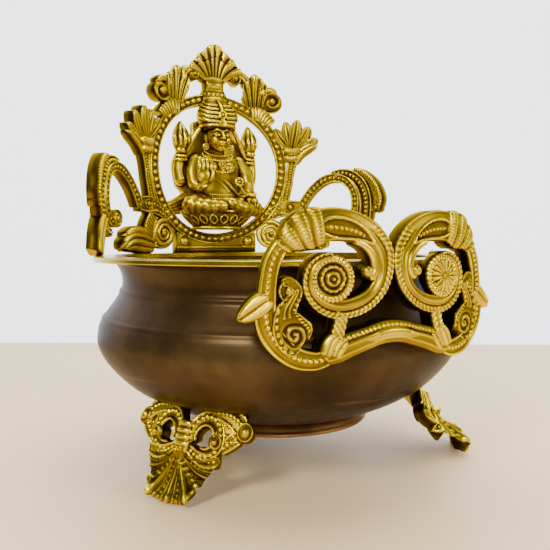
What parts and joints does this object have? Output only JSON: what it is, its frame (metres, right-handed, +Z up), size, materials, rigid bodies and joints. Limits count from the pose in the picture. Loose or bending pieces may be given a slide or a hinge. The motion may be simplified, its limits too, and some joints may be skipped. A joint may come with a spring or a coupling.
{
  "type": "brass urli bowl",
  "caption": "Footed brass urli bowl with a flat rim, an openwork scroll at the front and a pierced back panel with a ring and a seated figure.",
  "frame": {"origin": "middle of the object's box, on the floor plane the three toes stand on", "axes": "+Z up, -Y towards the front scroll, +Y towards the back panel, +X to the right seen from the front"},
  "size_m": [0.2, 0.2084, 0.2503],
  "materials": {
    "lacquered_brass": "dark brown satin lacquer outside, bare polished brass inside",
    "polished_brass": "polished",
    "bronze": "reddish satin",
    "cast_brass": "cast relief with dark recesses, highlights buffed"
  },
  "bodies": {
    "root": {"bowl_body": "lacquered_brass", "rim_flange": "polished_brass", "foot_ring": "bronze", "leg_front_left": "cast_brass", "leg_front_right": "cast_brass", "leg_back": "cast_brass", "panel_base": "cast_brass", "panel_ring": "cast_brass", "panel_crest": "cast_brass", "crest_leaf_left": "cast_brass", "crest_leaf_right": "cast_brass", "lotus_left": "cast_brass", "lotus_right": "cast_brass", "base_scroll_left": "cast_brass", "base_scroll_right": "cast_brass", "wing_left": "cast_brass", "wing_right": "cast_brass", "figure_seat": "cast_brass", "figure_body": "cast_brass", "figure_support_left": "cast_brass", "figure_support_right": "cast_brass", "front_scroll_left": "cast_brass", "front_scroll_right": "cast_brass", "front_frame_left": "cast_brass", "front_frame_right": "cast_brass", "front_bar": "cast_brass"}
  },
  "joints": []
}
